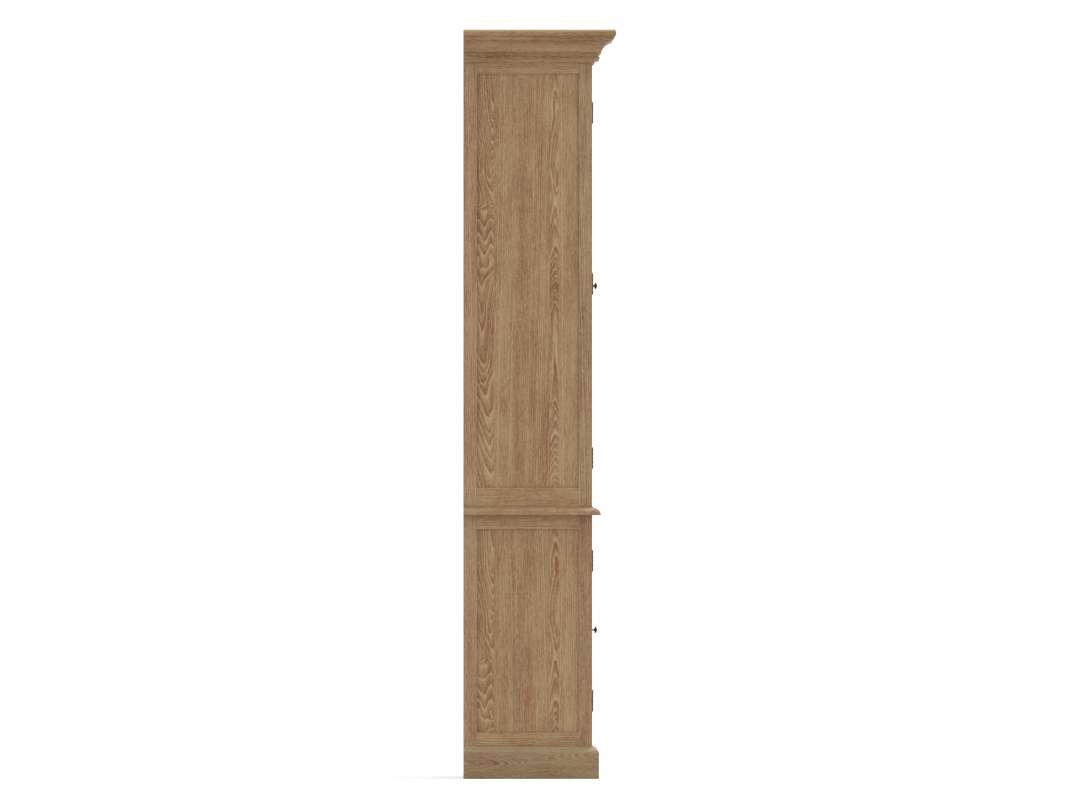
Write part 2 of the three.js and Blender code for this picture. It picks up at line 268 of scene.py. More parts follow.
def staves_across(name, low, high, width, flames=0.0, cut=RIFT):
    """Random staves from low to high, each about one width; flames is the share with figure."""
    rng = random.Random(name)
    count = max(1, round((high - low) / width))
    ends = [low + (high - low) * (k + 1) / count for k in range(count)]
    ends[:-1] = [end + rng.uniform(-0.18, 0.18) * width for end in ends[:-1]]
    starts = [low] + ends[:-1]
    return [
        flame_stave(rng, a, b) if rng.random() < flames else straight_stave(rng, a, b, cut)
        for a, b in zip(starts, ends)
    ]


LATTICE_ALONG = 25 * MM   # size of the faces of a curved stave
LATTICE_ACROSS = 8 * MM


def steps_between(low, high, step):
    """Even places between two ends, at most a step apart."""
    count = int((high - low) / step) + 1
    return [low + (high - low) * k / count for k in range(1, count)]


def slice_at(bm, axis, places):
    """Cuts the mesh's faces by planes across an axis."""
    normal = Vector([float(a == axis) for a in range(3)])
    for place in places:
        geometry = list(bm.verts) + list(bm.edges) + list(bm.faces)
        bmesh.ops.bisect_plane(bm, geom=geometry, plane_co=normal * place, plane_no=normal)


def extent(bm, axis):
    """The mesh's lowest and highest place along an axis."""
    places = [v.co[axis] for v in bm.verts]
    return min(places), max(places)


def eased(face):
    """1 for a face that is part of a rounded edge, or else 0."""
    return 1.0 if max(abs(c) for c in face.normal) < 0.999 else 0.0


def split_staves(bm, along, across, staves):
    """Cuts the mesh at the staves' joints, and curved staves into a lattice."""
    slice_at(bm, across, [stave.end for stave in staves[:-1]])
    low, high = extent(bm, across)
    starts = [low] + [stave.end for stave in staves[:-1]]
    ends = [stave.end for stave in staves[:-1]] + [high]
    curved = [(a, b) for a, b, stave in zip(starts, ends, staves) if stave.curved]
    for start, end in curved:
        slice_at(bm, across, steps_between(start, end, LATTICE_ACROSS))
    if curved:
        slice_at(bm, along, steps_between(*extent(bm, along), LATTICE_ALONG))


def lay_grain(bm, along, across, staves, rubbed=eased):
    """Splits the mesh into its staves and stores each corner's place and rings in its own log.

    rubbed(face) tells how far hands have worn the finish on eased edges, and on the mouldings' upper
    edges how strong a painted highlight is.
    """
    split_staves(bm, along, across, staves)
    thickness = 3 - along - across
    middle = sum(extent(bm, thickness)) / 2
    wood = bm.loops.layers.float_vector.new("wood")
    rings = bm.loops.layers.float.new("rings")
    tone = bm.faces.layers.float.new("tone")
    figure = bm.faces.layers.float.new("figure")
    # wear on eased edges, and painted highlight on the mouldings' upper edges
    wear_and_highlight = bm.faces.layers.float.new("wear_and_highlight")
    end_grain = bm.faces.layers.float.new("end_grain")
    for face in bm.faces:
        centre = face.calc_center_median()
        stave = next((s for s in staves if centre[across] < s.end), staves[-1])
        face[tone] = stave.tone
        face[figure] = stave.figure
        face[wear_and_highlight] = rubbed(face)
        face[end_grain] = max(0.0, abs(face.normal[along]) * 2 - 1)
        for loop in face.loops:
            co = loop.vert.co
            loop[wood] = (co[across], co[thickness], co[along] + stave.shift)
            loop[rings] = stave.rings(co[along], co[across], co[thickness] - middle)


# ---------------------------------------------------------------- materials

def linear(red, green, blue):
    """An sRGB colour of 0 to 255 as linear RGBA."""
    def one(value):
        value /= 255
        return value / 12.92 if value <= 0.04045 else ((value + 0.055) / 1.055) ** 2.4
    return (one(red), one(green), one(blue), 1.0)


class Shader:
    """A material's node tree, with short calls that return output sockets."""

    def __init__(self, name):
        self.material = bpy.data.materials.new(name)
        self.material.use_nodes = True
        self.tree = self.material.node_tree
        self.surface = self.tree.nodes["Principled BSDF"]

    def node(self, kind, inputs=None, **settings):
        made = self.tree.nodes.new(kind)
        for key, value in settings.items():
            setattr(made, key, value)
        for socket, value in (inputs or {}).items():
            if isinstance(value, bpy.types.NodeSocket):
                self.tree.links.new(value, made.inputs[socket])
            else:
                made.inputs[socket].default_value = value
        return made

    def math(self, operation, a, b=0.0, c=0.0):
        return self.node("ShaderNodeMath", {0: a, 1: b, 2: c}, operation=operation).outputs[0]

    def attribute(self, name, output="Fac"):
        return self.node("ShaderNodeAttribute", attribute_name=name).outputs[output]

    def noise(self, place, scale, detail=2.0, roughness=0.5):
        """Noise at a place stretched by scale, a vector of cycles per metre."""
        stretched = self.node("ShaderNodeVectorMath", {0: place, 1: scale}, operation="MULTIPLY")
        inputs = {"Vector": stretched.outputs[0], "Scale": 1.0, "Detail": detail,
                  "Roughness": roughness}
        return self.node("ShaderNodeTexNoise", inputs).outputs["Fac"]

    def span(self, value, low, high, to_low=0.0, to_high=1.0):
        """The range low to high stretched to another, and level beyond it."""
        inputs = {"Value": value, "From Min": low, "From Max": high,
                  "To Min": to_low, "To Max": to_high}
        return self.node("ShaderNodeMapRange", inputs).outputs[0]

    def mix(self, amount, a, b):
        """Colour a at an amount of 0, and b at 1."""
        inputs = {"Factor": amount, 6: a, 7: b}
        return self.node("ShaderNodeMix", inputs, data_type="RGBA").outputs[2]

    def ramp(self, value, stops):
        """A colour that runs through the (position, colour) stops."""
        ramp = self.node("ShaderNodeValToRGB", {"Fac": value})
        elements = ramp.color_ramp.elements
        while len(elements) < len(stops):
            elements.new(1.0)
        for element, (position, colour) in zip(elements, stops):
            element.position, element.color = position, colour
        return ramp.outputs["Color"]

    def set(self, **values):
        """Sets or links the surface shader's sockets."""
        for key, value in values.items():
            socket = self.surface.inputs[key.replace("_", " ")]
            if isinstance(value, bpy.types.NodeSocket):
                self.tree.links.new(value, socket)
            else:
                socket.default_value = value

    def bump(self, height, distance, strength=1.0):
        inputs = {"Height": height, "Distance": distance, "Strength": strength}
        normal = self.node("ShaderNodeBump", inputs).outputs["Normal"]
        self.tree.links.new(normal, self.surface.inputs["Normal"])


def oak(name, light, dark, lime, liming, roughness):
    """Open-grained oak cut from a log of growth rings, with lime wax in its pores.

    light and dark are the wood's own colours, lime the wax, liming how much of it is left.
    The pieces carry the place in the wood, the ring count, tone, figure, wear with painted highlight,
    and end grain.
    """
    s = Shader(name)
    place = s.attribute("wood", "Vector")
    end_grain = s.attribute("end_grain")
    rings = s.attribute("rings")
    for scale, bend in (((9, 9, 2.5), 1.8), ((55, 55, 14), 0.9)):
        wander = s.math("SUBTRACT", s.noise(place, scale, 2), 0.5)
        rings = s.math("MULTIPLY_ADD", wander, bend, rings)
    uneven = s.node("ShaderNodeTexNoise", {"W": rings, "Scale": 0.45, "Detail": 1.0},
                    noise_dimensions="1D").outputs["Fac"]
    phase = s.math("FRACT", s.math("MULTIPLY_ADD", uneven, 1.3, rings))

    # Red holds how porous the ring is there, green how dark its late wood is.
    ring = s.ramp(phase, [
        (0.0, (0.1, 1.0, 0, 1)), (0.06, (1, 0.0, 0, 1)), (0.16, (0.8, 0.1, 0, 1)),
        (0.36, (0.15, 0.42, 0, 1)), (0.7, (0.0, 0.66, 0, 1)), (1.0, (0.0, 1.0, 0, 1)),
    ])
    parts = s.node("ShaderNodeSeparateColor", {"Color": ring})
    porous, late = parts.outputs["Red"], parts.outputs["Green"]

    pores = s.span(s.noise(place, (700, 700, 70), 2), 0.50, 0.64)
    grit = s.span(s.noise(place, (380, 380, 220), 2, 0.6), 0.34, 0.66)
    dashes = s.span(s.noise(place, (420, 420, 50), 2, 0.6), 0.34, 0.66)
    streaks = s.span(s.noise(place, (170, 170, 9), 3, 0.65), 0.32, 0.68)
    bands = s.span(s.noise(place, (34, 34, 2.2), 2), 0.32, 0.68)
    clouds = s.span(s.noise(place, (11, 11, 7), 3), 0.3, 0.7)
    blush = s.span(s.noise(place, (24, 24, 3), 2), 0.35, 0.65)
    rays = s.span(s.noise(place, (260, 1400, 60), 1), 0.62, 0.74)

    # How dark the wood is, round a middle of 0: late wood, then finer and coarser mottling.
    figure = s.attribute("figure")
    depth = s.math("MULTIPLY", s.math("SUBTRACT", late, 0.55), s.math("MULTIPLY", figure, 0.75))
    layers = ((grit, 0.46), (dashes, 0.42), (streaks, 0.32), (bands, 0.34), (clouds, 0.30))
    for part, weight in layers:
        depth = s.math("MULTIPLY_ADD", s.math("SUBTRACT", part, 0.5), weight, depth)
    depth = s.math("MULTIPLY_ADD", s.attribute("tone"), -0.14, depth)
    # Worn edges, and the painted highlight on the mouldings' upper edges, make the wood lighter.
    wear_and_highlight = s.attribute("wear_and_highlight")
    depth = s.math("MULTIPLY_ADD", wear_and_highlight, -0.11, depth)
    ruddy = (dark[0] * 1.15, dark[1] * 1.02, dark[2] * 0.92, 1.0)
    wood = s.mix(s.math("ADD", depth, 0.46), light, s.mix(blush, dark, ruddy))

    # Wax lies in the open pores and the porous bands; the rays make a few pale flecks.
    open_pores = s.math("MULTIPLY", pores, s.math("MULTIPLY_ADD", porous, 0.7, 0.3))
    band = s.math("MULTIPLY", porous, s.math("MULTIPLY_ADD", figure, 0.5, 0.05))
    wax = s.math("MULTIPLY", s.math("ADD", band, open_pores), liming)
    waxed = s.mix(wax, wood, lime)
    flecked = s.mix(s.math("MULTIPLY", rays, 0.12), waxed, lime)

    # End grain is a little darker; worn edges, and the painted highlight on the mouldings' upper
    # edges, are paler.
    shown = s.math("MULTIPLY_ADD", end_grain, -0.07, 1.0)
    scaled = s.node("ShaderNodeVectorMath", {0: flecked, "Scale": shown}, operation="SCALE")
    edge = s.math("MULTIPLY", wear_and_highlight, s.math("MULTIPLY_ADD", streaks, 0.25, 0.05))
    colour = s.mix(edge, scaled.outputs[0], lime)

    polish = s.span(streaks, 0, 1, roughness - 0.05, roughness + 0.05)
    s.set(Base_Color=colour, Roughness=s.math("MULTIPLY_ADD", open_pores, 0.16, polish))
    s.set(Specular_IOR_Level=0.4)
    relief = s.math("SUBTRACT", s.math("MULTIPLY", late, 0.35), open_pores)
    s.bump(relief, 0.12 * MM, 0.8)
    return s.material


def bronze(name, base, rubbed, patina, roughness):
    """Aged bronze: a dark, dull patina with rubbed, brighter metal in uneven patches."""
    s = Shader(name)
    place = s.node("ShaderNodeTexCoord").outputs["Object"]
    cloud = s.noise(place, (160, 160, 160), 4, 0.6)
    grit = s.noise(place, (1500, 1500, 1500), 2)
    wear = s.span(cloud, 0.52, 0.72)
    colour = s.mix(wear, s.mix(s.span(grit, 0.4, 0.65), base, patina), rubbed)
    s.set(Base_Color=colour, Metallic=0.96, Specular_Tint=(0.42, 0.3, 0.18, 1))
    polish = s.span(wear, 0, 1, roughness, roughness - 0.12)
    s.set(Roughness=s.math("MULTIPLY_ADD", grit, 0.18, polish))
    s.bump(grit, 0.05 * MM, 0.5)
    return s.material


def plated(name, colour, roughness):
    """Bright plated metal with faint turning marks."""
    s = Shader(name)
    place = s.node("ShaderNodeTexCoord").outputs["Object"]
    haze = s.noise(place, (300, 300, 900), 3)
    tint = s.mix(s.span(haze, 0.3, 0.7), colour, [c * 0.8 for c in colour[:3]] + [1.0])
    s.set(Base_Color=tint, Metallic=0.95)
    s.set(Roughness=s.math("MULTIPLY_ADD", haze, 0.2, roughness))
    return s.material


def moulded_plastic(name, colour, roughness):
    """Plastic with a fine spark texture."""
    s = Shader(name)
    place = s.node("ShaderNodeTexCoord").outputs["Object"]
    spark = s.noise(place, (1800, 1800, 1800), 2)
    blush = s.noise(place, (40, 40, 40), 2)
    s.set(Base_Color=s.mix(blush, colour, [c * 0.82 for c in colour[:3]] + [1.0]))
    s.set(Roughness=s.math("MULTIPLY_ADD", spark, 0.2, roughness), Specular_IOR_Level=0.4)
    s.bump(spark, 0.04 * MM, 0.6)
    return s.material


LOOKS = {
    "limed_oak": oak("limed_oak", linear(140, 116, 79), linear(98, 54, 12),
                     linear(162, 147, 119), 0.55, 0.6),
    "plinth_oak": oak("plinth_oak", linear(129, 108, 75), linear(90, 51, 13),
                      linear(142, 131, 105), 0.5, 0.6),
    "inside_oak": oak("inside_oak", linear(169, 139, 101), linear(129, 92, 57),
                      linear(181, 162, 130), 0.4, 0.5),
    "back_oak": oak("back_oak", linear(160, 130, 94), linear(118, 83, 51),
                    linear(173, 155, 125), 0.45, 0.6),
    "hinge_bronze": bronze("hinge_bronze", linear(48, 36, 21), linear(86, 64, 38),
                           linear(36, 28, 18), 0.5),
    "knob_bronze": bronze("knob_bronze", linear(60, 44, 23), linear(110, 80, 44),
                          linear(40, 30, 17), 0.4),
    "catch": moulded_plastic("catch", linear(112, 90, 66), 0.42),
    "steel": plated("steel", linear(176, 174, 170), 0.28),
    "brass": plated("brass", linear(196, 160, 96), 0.3),
}


# ---------------------------------------------------------------- placing pieces

def settle(name, bm, node):
    """Makes a piece that stands for a CAD node and moves with its body."""
    obj = to_object(name, bm)
    obj.data.materials.append(LOOKS[SLOT_OF[node]])
    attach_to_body(obj, BODY_OF[node])
    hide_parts(node)
    return obj


def attach(name, bm, body, look):
    """Makes an extra piece that stands for no CAD node."""
    obj = to_object(name, bm)
    obj.data.materials.append(LOOKS[look])
    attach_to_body(obj, body)
    return obj


def add_board(name, box, along, across, node, cuts=(), staves=None):
    """One wooden board with eased edges and its grain along an axis, of one stave unless told."""
    bm = bmesh.new()
    add_box(bm, *box)
    if cuts:
        bm = carved(bm, cuts)
    ease_edges(bm, EASE, [grown(cut, 0.1 * MM) for cut in cuts])
    staves = staves or staves_across(name, box[0][across], box[1][across], 1.0)
    lay_grain(bm, along, across, staves)
    flat_faces(bm)
    return settle(name, bm, node)


def flat_faces(bm):
    """Smooth shading on the eased edges only."""
    bmesh.ops.recalc_face_normals(bm, faces=bm.faces)
    for face in bm.faces:
        face.smooth = eased(face) > 0


# ---------------------------------------------------------------- framed panels

def opening_of(panel_node):
    """The frame's opening, from the panel that its grooves hold."""
    low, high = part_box(panel_node)
    return low + Vector((GROOVE_HOLD,) * 3), high - Vector((GROOVE_HOLD,) * 3)


def add_framed_panel(prefix, wide, cuts=(), panel_staves=None, top_rail_tone=0.0):
    """Two stiles, two rails and a panel for the CAD nodes prefix_frame and prefix_panel.

    wide is the axis across the panel, and cuts are the frame's other recesses.
    """
    frame_node, panel_node = f"{prefix}_frame", f"{prefix}_panel"
    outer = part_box(frame_node)
    opening = opening_of(panel_node)
    groove = grown(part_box(panel_node), FIT_GAP)
    cuts = [groove, *cuts]
    low_name, high_name = ("front", "back") if wide == Y else ("left", "right")
    low_stile = with_axis(outer, wide, outer[0][wide], opening[0][wide])
    high_stile = with_axis(outer, wide, opening[1][wide], outer[1][wide])
    add_board(f"{prefix}_{low_name}_stile", low_stile, Z, wide, frame_node, cuts)
    add_board(f"{prefix}_{high_name}_stile", high_stile, Z, wide, frame_node, cuts)
    rails = with_axis(outer, wide, opening[0][wide], opening[1][wide])
    bottom = with_axis(rails, Z, outer[0].z, opening[0].z)
    top = with_axis(rails, Z, opening[1].z, outer[1].z)
    add_board(f"{prefix}_bottom_rail", bottom, wide, Z, frame_node, cuts)
    top_rail = staves_across(f"{prefix}_top_rail", top[0].z, top[1].z, 1.0)
    top_rail[0].tone += top_rail_tone
    add_board(f"{prefix}_top_rail", top, wide, Z, frame_node, cuts, top_rail)
    low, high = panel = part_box(panel_node)
    staves = panel_staves or staves_across(f"{prefix}_staves", low[wide], high[wide], 0.085, 0.4)
    add_board(f"{prefix}_panel", panel, Z, wide, panel_node, staves=staves)


# The flames of a side panel, laid out by their drop in metres from the panel's top: where a
# flame's middle lies towards the back, how many rings it has passed, how many rings there are to
# a metre across it, and where it folds over into a W.
BACK_FLAME_MIDDLE = [(0.28, 0.150), (0.34, 0.162), (0.40, 0.150), (0.60, 0.152), (0.66, 0.186),
                     (1.0, 0.182), (1.08, 0.166), (1.24, 0.159)]
BACK_FLAME_RINGS = [(0.0, 0), (0.14, 1), (0.30, 6), (0.39, 9), (0.62, 14), (0.88, 17), (1.0, 20),
                    (1.24, 25), (1.36, 27)]
BACK_FLAME_SPREAD = [(0.0, 140), (0.30, 140), (0.48, 50), (0.62, 50), (0.70, 110), (0.85, 110),
                     (0.95, 60)]
BACK_FLAME_FOLD = [(0.44, 0), (0.48, 1), (0.60, 1), (0.66, 0)]
FOLD_MIDDLE = 0.178
FOLD_REACH = 0.021
ARROW_MIDDLE = [(0.0, -0.048), (0.09, -0.050), (0.15, -0.064), (0.33, -0.058), (0.45, -0.049),
                (0.65, -0.052), (0.72, -0.048), (1.1, -0.050)]
ARROW_SPREAD = [(0.0, 90)]
ARROW_RINGS = [(0.0, 0), (0.09, 2), (0.22, 4), (0.30, 4.4), (0.41, 2), (0.49, 3), (0.59, 5),
               (0.76, 13), (1.05, 14), (1.14, 16), (1.24, 20), (1.36, 25)]


def flame_rings(first, middle, count, spread, blunt, fold=None):
    """Nested V shapes about middle(drop); fold(drop) turns their inner part over into a W.

    count(drop) is how many rings the flame has passed and spread(drop) how many there are to a
    metre across it.
    """
    def rings(drop, across):
        aside = abs(across - middle(drop))
        if fold:
            aside = abs(across - (FOLD_MIDDLE if fold(drop) else middle(drop)))
            aside -= 2 * fold(drop) * min(aside, FOLD_REACH)
        return first + spread(drop) * math.hypot(aside, blunt) + count(drop)
    return rings


def side_staves(prefix, top):
    """A side panel's staves: a flame by the back, plain wood, narrow arrowheads, a pale stave."""
    rng = random.Random(prefix)
    back = flame_rings(40, through(BACK_FLAME_MIDDLE), through(BACK_FLAME_RINGS),
                       through(BACK_FLAME_SPREAD), 6 * MM, through(BACK_FLAME_FOLD))
    passed = through(ARROW_RINGS)
    arrows = flame_rings(90, through(ARROW_MIDDLE), lambda drop: -passed(drop),
                         through(ARROW_SPREAD), 4 * MM)

    def plain(end, tone):
        stave = straight_stave(rng, end - 0.06, end)
        stave.tone = tone
        return stave

    return [
        plain(-0.061, 1.0),
        Stave(rng, -0.033, lambda z, y, depth: arrows(top - z, y), -0.6, 0.85, True),
        plain(0.012, 0.0),
        plain(0.088, -0.4),
        plain(0.1475, 0.25),
        Stave(rng, 1.0, lambda z, y, depth: back(top - z, y), -0.6, FLAMED, True),
    ]


# ---------------------------------------------------------------- carcases

def door_opening(cabinet):
    """The face frame's opening: both doors with the gap round them."""
    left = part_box(f"{cabinet}_left_door_frame")
    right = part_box(f"{cabinet}_right_door_frame")
    return grown((left[0], right[1]), (DOOR_GAP, 1 * MM, DOOR_GAP))


def hinge_pockets(door, leaf):
    """The mortises for one door's hinges, in the door or in the face frame."""
    pockets = []
    for index in range(1, HINGES[door] + 1):
        low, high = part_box(f"{door}_hinge_{index}_{leaf}_leaf")
        pocket = grown((low, high), FIT_GAP)
        pockets.append(with_axis(pocket, Y, FACE - 1 * MM, pocket[1].y))
    return pockets


DOORS = [f"{cabinet}_{side}_door" for cabinet in ("base", "upper") for side in ("left", "right")]
# How many hinges each door has: every hinge is two leaves.
HINGES = {door: sum(node.startswith(f"{door}_hinge") for node in SLOT_OF) // 2 for door in DOORS}


def add_face_frame(cabinet):
    """Two stiles with mortises for the hinges, and two rails."""
    node = f"{cabinet}_face_frame"
    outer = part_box(node)
    opening = door_opening(cabinet)
    cuts = []
    for side in ("left", "right"):
        cuts += hinge_pockets(f"{cabinet}_{side}_door", "frame")
    left = with_axis(outer, X, outer[0].x, opening[0].x)
    right = with_axis(outer, X, opening[1].x, outer[1].x)
    add_board(f"{cabinet}_face_left_stile", left, Z, X, node, cuts)
    add_board(f"{cabinet}_face_right_stile", right, Z, X, node, cuts)
    rails = with_axis(outer, X, opening[0].x, opening[1].x)
    bottom = with_axis(rails, Z, outer[0].z, opening[0].z)
    top = with_axis(rails, Z, opening[1].z, outer[1].z)
    add_board(f"{cabinet}_face_bottom_rail", bottom, X, Z, node)
    add_board(f"{cabinet}_face_top_rail", top, X, Z, node)


PLANK_WIDTH = 102 * MM
PLANK_CHAMFER = 2.2 * MM
PLANK_GAP = 0.2 * MM


def add_plank_back(node):
    """A back of upright tongue-and-groove planks with V-joints."""
    low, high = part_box(node)
    count = round((high.x - low.x) / PLANK_WIDTH)
    pitch = (high.x - low.x) / count
    for k in range(count):
        bm = bmesh.new()
        start = low.x + k * pitch
        add_box(bm, (start + PLANK_GAP / 2, low.y, low.z),
                (start + pitch - PLANK_GAP / 2, high.y, high.z))
        upright = [e for e in bm.edges if abs(e.verts[0].co.z - e.verts[1].co.z) > 0.1]
        bmesh.ops.bevel(bm, geom=upright, offset=PLANK_CHAMFER, segments=1, affect="EDGES")
        name = f"{node}_plank_{k + 1}"
        lay_grain(bm, Z, X, staves_across(name, start, start + pitch, 1.0, 0.5))
        flat_faces(bm)
        settle(name, bm, node)


SIDE_TOP_RAIL_TONES = {"base": 0.0, "upper": 1.7}   # the upper cabinet's side top rails are made paler
SHELVES = ("base_shelf", "upper_shelf_1", "upper_shelf_2", "upper_shelf_3")


def add_level_board(node):
    """A shelf, bottom or top, glued up from strips as long as the cabinet is wide."""
    low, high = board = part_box(node)
    add_board(node, board, X, Y, node, staves=staves_across(node, low.y, high.y, 0.09, 0.35))


def add_carcase():
    for cabinet in ("base", "upper"):
        add_face_frame(cabinet)
        for side in ("left", "right"):
            prefix = f"{cabinet}_{side}_side"
            staves = side_staves(prefix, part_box(f"{prefix}_panel")[1].z)
            add_framed_panel(prefix, Y, (), staves, SIDE_TOP_RAIL_TONES[cabinet])
        add_level_board(f"{cabinet}_bottom_board")
        add_plank_back(f"{cabinet}_back_panel")
    for node in (*SHELVES, "upper_top_board"):
        add_level_board(node)


# ---------------------------------------------------------------- mouldings

# An outline's points are (reach, height) in millimetres: how far out from the body, and how high.

def arc(reach, height, radius, start, end, steps):
    """An outline's points on an arc round (reach, height), its angles in degrees."""
    angles = [math.radians(start + (end - start) * k / steps) for k in range(steps + 1)]
    return [(reach + radius * math.cos(a), height + radius * math.sin(a)) for a in angles]


CROWN_OUTLINE = [
    *arc(20, 0, 12, 180, 96, 10),
    *arc(22.6, 13.9, 1.7, -80, 55, 6),
    *arc(27.5, 23.5, 8.3, 235, 100, 14),
    *arc(27.6, 35.0, 2.8, -70, 20, 6),
    *arc(77.8, 24.7, 49.1, 164.3, 105.3, 18),
    (66, 72.6),
    (66, 81.8),
    *arc(67, 92.5, 10, -84, 0, 12),
    (76.6, 96),
    (75.8, 99.5),
    *arc(70.6, 101.2, 4.3, 10, 90, 8),
]
WAIST_THICKNESS = 28.5
OVOLO_STRETCH = 1.1  # the waist's ovolo is taller than it is deep
WAIST_OUTLINE = [
    *arc(27.0, 0.8, 0.8, -90, 0, 3),
    *[(reach, height * OVOLO_STRETCH) for reach, height in arc(7.5, 0, 20.3, 3, 88, 18)],
    (7.6, 22.7),
    *arc(7, 28.8, 6, 270, 185, 10),
    (0, WAIST_THICKNESS),
]
PLINTH_TOP = 102.5
PLINTH_OUTLINE = [
    *arc(21.2, 0.8, 0.8, -90, 0, 3),
    *arc(4.9, 78.5, 17.1, 0, 65, 14),
    *arc(17.1, 114.9, 21.1, 254, 219, 12),
]
MITRE_EASE = 0.15 * MM

# Painted highlight as (height, strength) points, where overhead light falls on the crown's rounded top
# edge, on the waist's ovolo and on the plinth's shoulder.
CROWN_HIGHLIGHT = [(TOP - 9 * MM, 0), (TOP - 2 * MM, 3.2)]
WAIST_HIGHLIGHT = [(12, 0), (17, 0.9), (22, 0.9), (24, 0)]   # in millimetres over the board's bottom
PLINTH_HIGHLIGHT = [(86 * MM, 0), (92 * MM, 1.6)]


def add_moulding(prefix, run, outline, bottom, top, stave, rubbed):
    """One length of moulding, its ends cut to the mitre or square at the back."""
    profile = in_metres([(FIT_GAP / MM, bottom / MM), *outline, (FIT_GAP / MM, top / MM)])
    if run == "front":
        mitre = [(HALF_WIDTH + r - MITRE_EASE, FACE - r, h) for r, h in profile]
        ends = [[(-x, y, h) for x, y, h in mitre], mitre]
    else:
        side = -1 if run == "left" else 1
        ends = [
            [(side * (HALF_WIDTH + r), BACK, h) for r, h in profile],
            [(side * (HALF_WIDTH + r), FACE - r + MITRE_EASE, h) for r, h in profile],
        ]
    bm = bmesh.new()
    rings = [[bm.verts.new(point) for point in end] for end in ends]
    count = len(profile)
    for k in range(count):
        n = (k + 1) % count
        bm.faces.new((rings[0][k], rings[0][n], rings[1][n], rings[1][k]))
    bm.faces.new(rings[0][::-1])
    bm.faces.new(rings[1])
    name = f"{prefix}_{run}"
    along, across = (X, Z) if run == "front" else (Y, Z)
    # rubbed gives the painted highlight on the moulding's upper edge
    lay_grain(bm, along, across, [stave], rubbed)
    shade(bm)
    return settle(name, bm, name)


def plinth_stave(run):
    """A flame that narrows towards the middle of the length and opens again beyond it."""
    rng = random.Random(f"plinth_{run}")
    level = through([(-0.15, 0.078), (0.0, 0.066), (0.08, 0.05)])
    narrows = 0.02 + rng.uniform(-0.02, 0.02)
    uneven = sway(rng, 2 * MM)
    rings = log_rings(rng, level if run == "left" else lambda along: level(-abs(along)), 0.03,
                      lambda along: uneven(along) - 0.12 * math.hypot(along - narrows, 0.02), 3.2 * MM)
    return Stave(rng, 1.0, rings, -0.2, 0.75, curved=True)


def crown_stave(run):
    """Plain wood with one small flame in the hollow, near the front corner."""
    rng = random.Random(f"crown_{run}")
    level = TOP - 40 * MM
    uneven = sway(rng, 2 * MM)
    rings = log_rings(rng, lambda along: level, 0.02,
                      lambda along: uneven(along) + 0.12 * math.hypot(along + 0.07, 0.03), 3.2 * MM)
    return Stave(rng, TOP, rings, 0.0, 0.5, curved=True)


def add_waist_board():
    """The base cabinet's top: one board moulded along its front and both ends."""
    node = "waist_top_board"
    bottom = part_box(node)[0].z
    bm = bmesh.new()
    rings = []
    for reach, height in [(r * MM, bottom + h * MM) for r, h in WAIST_OUTLINE]:
        x = HALF_WIDTH + reach
        corners = [(-x, BACK), (-x, FACE - reach), (x, FACE - reach), (x, BACK)]
        rings.append([bm.verts.new((*corner, height)) for corner in corners])
    for lower, upper in zip(rings, rings[1:]):
        for k in range(4):
            n = (k + 1) % 4
            bm.faces.new((lower[k], lower[n], upper[n], upper[k]))
    bm.faces.new(rings[0][::-1])
    bm.faces.new(rings[-1])
    staves = staves_across(node, FACE - 30 * MM, BACK, 0.07, cut=QUARTER)
    staves[-1].figure = 0.1   # faint, so that the narrow back edge reads as straight
    # painted highlight on the upper part of the waist's ovolo
    nose_highlight = [(bottom + height * MM, wear_and_highlight) for height, wear_and_highlight in WAIST_HIGHLIGHT]
    lay_grain(bm, X, Y, staves, highlight_by_height(nose_highlight))
    shade(bm)
    settle(node, bm, node)


def highlight_by_height(points):
    """Painted highlight that follows the (height, strength) points, with none on a face that lies
    flat.
    """
    wear = through(points)

    # the value given here is the strength of a painted highlight
    def rubbed(face):
        return wear(face.calc_center_median().z) if abs(face.normal.z) < 0.99 else 0.0
    return rubbed


def add_mouldings():
    crown_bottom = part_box("crown_front")[0].z
    crown = [(r, crown_bottom / MM + h) for r, h in CROWN_OUTLINE]
    # painted highlights on the crown's top edge and the plinth's shoulder
    crown_highlight, plinth_highlight = highlight_by_height(CROWN_HIGHLIGHT), highlight_by_height(PLINTH_HIGHLIGHT)
    for run in ("front", "left", "right"):
        add_moulding("crown", run, crown, crown_bottom, TOP, crown_stave(run), crown_highlight)
        add_moulding("plinth", run, PLINTH_OUTLINE, 0.0, PLINTH_TOP * MM, plinth_stave(run),
                     plinth_highlight)
    add_waist_board()


# ---------------------------------------------------------------- hinges

LEAF_THICKNESS = 2 * MM
BARREL_RADIUS = 3.5 * MM
KNUCKLES = 5
PIN_CAP = 2 * MM
LEAF_ROOT = 4 * MM
SCREW_LEVELS = (-25 * MM, 0, 25 * MM)
SCREW_HEAD = [(0, -1.2 * MM), (0.6, -1.2 * MM), (1, -0.1 * MM), (0.96, 0.08 * MM),
              (0.6, 0.22 * MM), (0, 0.28 * MM)]   # (share of the radius, height)
KNUCKLE_EASE = 0.45 * MM
KNUCKLE_CHAMFER = 0.13 * MM
# The pin's end: (share of the barrel's radius, share of the cap's height).
PIN_CAP_OUTLINE = [(0.0, 0.0), (0.55, 0.02), (0.85, 0.12), (0.93, 0.3), (0.93, 0.75), (0.8, 0.92),
                   (0, 0.92)]


